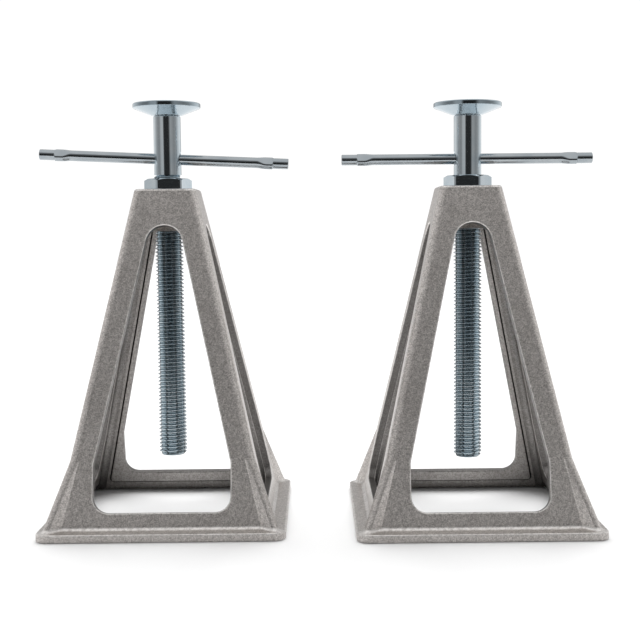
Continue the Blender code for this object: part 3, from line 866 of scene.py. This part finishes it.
def make_screw_zinc():
    """Shank and rolled thread in one: a painted shade down in the thread's roots, and the thread duller."""
    surface, colour, roughness, normal = make_zinc("zinc_plate_screw", (0.4, 0.4, 9.0), 0.07, 0.1)
    flat = surface.nodes.new("ShaderNodeVectorMath")
    flat.operation = "MULTIPLY"
    surface.links.new(surface.place, flat.inputs[0])
    flat.inputs[1].default_value = (1, 1, 0)
    length = surface.nodes.new("ShaderNodeVectorMath")
    length.operation = "LENGTH"
    surface.links.new(flat.outputs["Vector"], length.inputs[0])
    radius = length.outputs["Value"]
    height = surface.nodes.new("ShaderNodeSeparateXYZ")
    surface.links.new(surface.place, height.inputs[0])
    # Painted shade in the thread's roots
    root_shade = surface.fit(radius, ROOT_RADIUS + 0.1 * MM, ROOT_RADIUS + 0.9 * MM, 0.72, 0.0)
    below = surface.fit(height.outputs["Z"], SHANK_BOTTOM, SHANK_BOTTOM - PITCH)
    colour = surface.blend(surface.maths("MULTIPLY", root_shade, below), colour, THREAD_ROOT_SHADE_COLOUR)
    roughness = surface.maths("ADD", roughness, surface.maths("MULTIPLY", below, 0.1))
    return surface.finish(colour, roughness, normal)


aluminium = make_aluminium()
screw_zinc = make_screw_zinc()
nut_zinc = Surface.finish(*make_zinc("zinc_plate_nut", (1.0, 1.0, 1.0), 0.08))
pad_zinc = Surface.finish(*make_zinc("zinc_plate_pad", (0.4, 0.4, 6.0), 0.08, 0.1, PAD_ZINC))
bar_zinc = Surface.finish(*make_zinc("zinc_plate_bar", (0.25, 6.0, 6.0), 0.08, 0.05, BAR_ZINC))


# ---------------------------------------------------------------- the two stands


def put(piece, body, node, place):
    piece.matrix_world = place
    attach(piece, body)
    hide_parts(node)


def twin(made, name):
    other = made.copy()
    other.data = made.data.copy()
    other.name = name
    scene.collection.objects.link(other)
    return other


screws = [make_screw("left_lifting_screw")]
screws.append(twin(screws[0], "right_lifting_screw"))
pads = [make_pad("left_load_pad")]
pads.append(twin(pads[0], "right_load_pad"))

for (side, setting), screw, pad in zip(STANDS.items(), screws, pads):
    low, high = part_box(f"{side}_frame")
    axis = Matrix.Translation(((low.x + high.x) / 2, (low.y + high.y) / 2, 0))
    raised = LIFTED if side == "left" else 0.0
    lift = Matrix.Translation((0, 0, raised))
    casting = make_frame(f"{side}_casting", setting["nut_turn"])
    put(casting, f"{side}_stand", f"{side}_frame", axis)
    nut = make_nut(f"{side}_hex_nut", setting["nut_turn"], raised)
    put(nut, f"{side}_stand", f"{side}_nut", axis)
    put(screw, f"{side}_screw", f"{side}_screw", axis @ lift)
    put(pad, f"{side}_pad", f"{side}_pad", axis @ lift)
    low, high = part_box(f"{side}_handle")
    hang = Matrix.Translation((low + high) / 2) @ Matrix.Rotation(setting["droop"], 4, "Y")
    bar = make_handle(f"{side}_t_bar")
    put(bar, f"{side}_handle", f"{side}_handle", hang)


# ---------------------------------------------------------------- floor, light and camera


FLOOR_REACH = 6.0
FLOOR_SPLIT = -0.55
FLOOR_DROP = 0.05 * MM


def make_floor(name, near, far):
    """A strip of the pale floor between two depths."""
    bm = bmesh.new()
    corners = [(-FLOOR_REACH, near), (FLOOR_REACH, near), (FLOOR_REACH, far), (-FLOOR_REACH, far)]
    bm.faces.new([bm.verts.new((x, y, -FLOOR_DROP)) for x, y in corners])
    floor = add_object(name, bm, floor_paint)
    return floor


def make_floor_paint():
    surface = Surface("pale_floor", metallic=0.0)
    shade = surface.noise(3.0)
    colour = surface.blend(surface.fit(shade, 0.3, 0.7), (0.92, 0.92, 0.92), (0.94, 0.94, 0.94))
    surface.links.new(colour, surface.shader.inputs["Base Color"])
    surface.shader.inputs["Roughness"].default_value = 0.9
    surface.shader.inputs["Specular IOR Level"].default_value = 0.0
    return surface.material


# How bright the surroundings are by direction round the stands, 0 degrees being the front: level with
# them, and from a little above the horizon up to the overhead light
LEVEL = [(-180, 0.50), (-158, 0.58), (-142, 1.00), (-115, 0.75), (-98, 0.50), (-80, 0.34), (-60, 0.30),
         (-49, 0.52), (-29, 0.58), (-24, 0.20), (-21, 0.03), (20, 0.03), (24, 0.18), (34, 0.42),
         (50, 0.36), (66, 0.30), (86, 0.40), (105, 0.68), (122, 0.95), (142, 1.05), (158, 0.58), (180, 0.50)]
RAISED = [(-180, 0.60), (-140, 0.75), (-110, 0.95), (-75, 0.85), (-58, 0.40), (-30, 0.32), (-21, 0.25),
          (20, 0.25), (30, 0.31), (52, 0.37), (66, 0.58), (80, 1.00), (110, 1.05), (140, 0.75), (180, 0.60)]
RAISED_FROM = 10
RAISED_TO = 20
OVERHEAD = 1.0
OVERHEAD_FROM = 33
OVERHEAD_TO = 50
FILL = 0.28
BACKDROP = 1.05

KEY_SPREAD = math.radians(88)
KEY_STRENGTH = 4.4
KEY_TILT = math.radians(-40)

CAMERA_LENS = 63.72
CAMERA_PLACE = (-0.00186, -0.77515, 0.1946)
CAMERA_PITCH = math.radians(4.511)
CAMERA_TURN = -0.0037
CAMERA_ROLL = -0.0100


def make_world():
    """Soft studio surroundings: pale behind and above, dim to the sides and dark around the camera."""
    world = bpy.data.worlds.new("soft_studio")
    scene.world = world
    world.use_nodes = True
    nodes = world.node_tree.nodes
    links = world.node_tree.links
    background = nodes["Background"]
    split = nodes.new("ShaderNodeSeparateXYZ")
    links.new(nodes.new("ShaderNodeTexCoord").outputs["Generated"], split.inputs[0])
    forward = nodes.new("ShaderNodeMath")
    forward.operation = "MULTIPLY"
    forward.inputs[1].default_value = -1.0
    links.new(split.outputs["Y"], forward.inputs[0])
    around = nodes.new("ShaderNodeMath")
    around.operation = "ARCTAN2"
    links.new(split.outputs["X"], around.inputs[0])
    links.new(forward.outputs[0], around.inputs[1])
    turn = nodes.new("ShaderNodeMapRange")
    turn.inputs["From Min"].default_value = -math.pi
    turn.inputs["From Max"].default_value = math.pi
    links.new(around.outputs[0], turn.inputs["Value"])

    def band(profile):
        ramp = nodes.new("ShaderNodeValToRGB")
        stops = ramp.color_ramp.elements
        while len(stops) > 1:
            stops.remove(stops[-1])
        for i, (angle, value) in enumerate(profile):
            stop = stops[0] if i == 0 else stops.new((angle + 180) / 360)
            stop.position = (angle + 180) / 360
            stop.color = (value, value, value, 1.0)
        links.new(turn.outputs["Result"], ramp.inputs["Fac"])
        return ramp.outputs["Color"]

    def rising(low, high):
        share = nodes.new("ShaderNodeMapRange")
        share.interpolation_type = "SMOOTHSTEP"
        share.inputs["From Min"].default_value = math.sin(math.radians(low))
        share.inputs["From Max"].default_value = math.sin(math.radians(high))
        links.new(split.outputs["Z"], share.inputs["Value"])
        return share.outputs["Result"]

    def blend(share, first, second):
        mix = nodes.new("ShaderNodeMix")
        mix.data_type = "RGBA"
        sockets = {socket.identifier: socket for socket in mix.inputs}
        links.new(share, sockets["Factor_Float"])
        links.new(first, sockets["A_Color"])
        if isinstance(second, tuple):
            sockets["B_Color"].default_value = second
        else:
            links.new(second, sockets["B_Color"])
        return {socket.identifier: socket for socket in mix.outputs}["Result_Color"]

    around_all = blend(rising(RAISED_FROM, RAISED_TO), band(LEVEL), band(RAISED))
    above = blend(rising(OVERHEAD_FROM, OVERHEAD_TO), around_all, (OVERHEAD, OVERHEAD, OVERHEAD, 1.0))
    path = nodes.new("ShaderNodeLightPath").outputs
    filled = blend(path["Is Diffuse Ray"], above, (FILL, FILL, FILL, 1.0))
    behind = blend(path["Is Camera Ray"], filled, (BACKDROP, BACKDROP, BACKDROP, 1.0))
    links.new(behind, background.inputs["Color"])
    world.cycles.sampling_method = "NONE"


def make_key():
    """A broad soft light from above for the floor and the shadows on it, kept out of the reflections."""
    light = bpy.data.lights.new("overhead_softbox", "SUN")
    light.angle = KEY_SPREAD
    light.energy = KEY_STRENGTH
    lamp = bpy.data.objects.new("overhead_softbox", light)
    scene.collection.objects.link(lamp)
    lamp.rotation_euler = (KEY_TILT, 0, 0)
    lamp.visible_glossy = False


def make_camera():
    camera = bpy.data.cameras.new("camera")
    camera.lens = CAMERA_LENS
    camera.sensor_width = 36.0
    view = bpy.data.objects.new("camera", camera)
    scene.collection.objects.link(view)
    view.matrix_world = (Matrix.Translation(CAMERA_PLACE)
                         @ Matrix.Rotation(CAMERA_TURN, 4, "Z")
                         @ Matrix.Rotation(math.pi / 2 - CAMERA_PITCH, 4, "X")
                         @ Matrix.Rotation(CAMERA_ROLL, 4, "Z"))
    scene.camera = view


floor_paint = make_floor_paint()
make_floor("studio_floor", FLOOR_SPLIT, FLOOR_REACH)
make_floor("studio_floor_near", -FLOOR_REACH, FLOOR_SPLIT).visible_glossy = False
make_world()
make_key()
make_camera()
scene.view_settings.view_transform = "Standard"
scene.cycles.use_denoising = True
